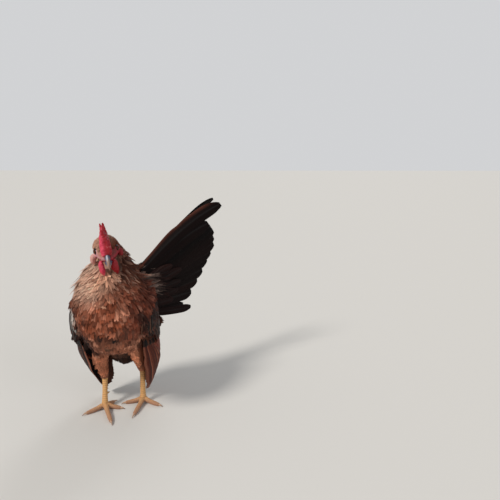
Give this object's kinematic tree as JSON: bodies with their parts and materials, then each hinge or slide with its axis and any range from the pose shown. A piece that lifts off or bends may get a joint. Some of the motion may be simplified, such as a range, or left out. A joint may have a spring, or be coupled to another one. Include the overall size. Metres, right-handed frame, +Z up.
{
  "type": "serama cock",
  "caption": "Small standing cock with an upright single comb, high full breast, wings hanging to the ground and a tall blade-like tail swung to one side, as a still life-size model.",
  "frame": {"origin": "on the floor, under the middle of the bird's bounding box", "axes": "+Z up, the bird faces -Y, its left side is +X"},
  "size_m": [0.1688, 0.1977, 0.2361],
  "materials": {
    "plumage_gold": "soft golden brown to tan feathers",
    "plumage_dark": "near-black feathers with a green gloss",
    "plumage_bay": "dark red-brown feathers",
    "comb_red": "pebbled crimson skin with a soft sheen",
    "earlobe_pink": "smooth pink skin",
    "leg_scale": "yellow scaled skin, a little glossy",
    "horn": "polished horn, darker at the root",
    "eye_dark": "wet, dark, with an orange-brown iris"
  },
  "bodies": {
    "root": {"trunk": "plumage_gold", "neck": "plumage_gold", "head": "plumage_gold", "thigh_left": "plumage_gold", "thigh_right": "plumage_gold", "tail_base": "plumage_gold", "wing_left_coverts": "plumage_gold", "wing_right_coverts": "plumage_gold", "wing_left_secondaries": "plumage_bay", "wing_right_secondaries": "plumage_bay", "wing_left_primaries": "plumage_dark", "wing_right_primaries": "plumage_dark", "tail_left_1": "plumage_dark", "tail_left_2": "plumage_dark", "tail_left_3": "plumage_dark", "tail_left_4": "plumage_dark", "tail_left_5": "plumage_dark", "tail_left_6": "plumage_dark", "tail_left_7": "plumage_dark", "tail_right_1": "plumage_dark", "tail_right_2": "plumage_dark", "tail_right_3": "plumage_dark", "tail_right_4": "plumage_dark", "tail_right_5": "plumage_dark", "tail_right_6": "plumage_dark", "tail_right_7": "plumage_dark", "sickle_left": "plumage_dark", "sickle_right": "plumage_dark", "comb": "comb_red", "wattle_left": "comb_red", "wattle_right": "comb_red", "earlobe_left": "earlobe_pink", "earlobe_right": "earlobe_pink", "eye_left": "eye_dark", "eye_right": "eye_dark", "beak_upper": "horn", "beak_lower": "horn", "shank_left": "leg_scale", "shank_right": "leg_scale", "foot_left": "leg_scale", "foot_right": "leg_scale", "spur_left": "horn", "spur_right": "horn", "claw_left_outer": "horn", "claw_left_middle": "horn", "claw_left_inner": "horn", "claw_left_hind": "horn", "claw_right_outer": "horn", "claw_right_middle": "horn", "claw_right_inner": "horn", "claw_right_hind": "horn"}
  },
  "joints": []
}
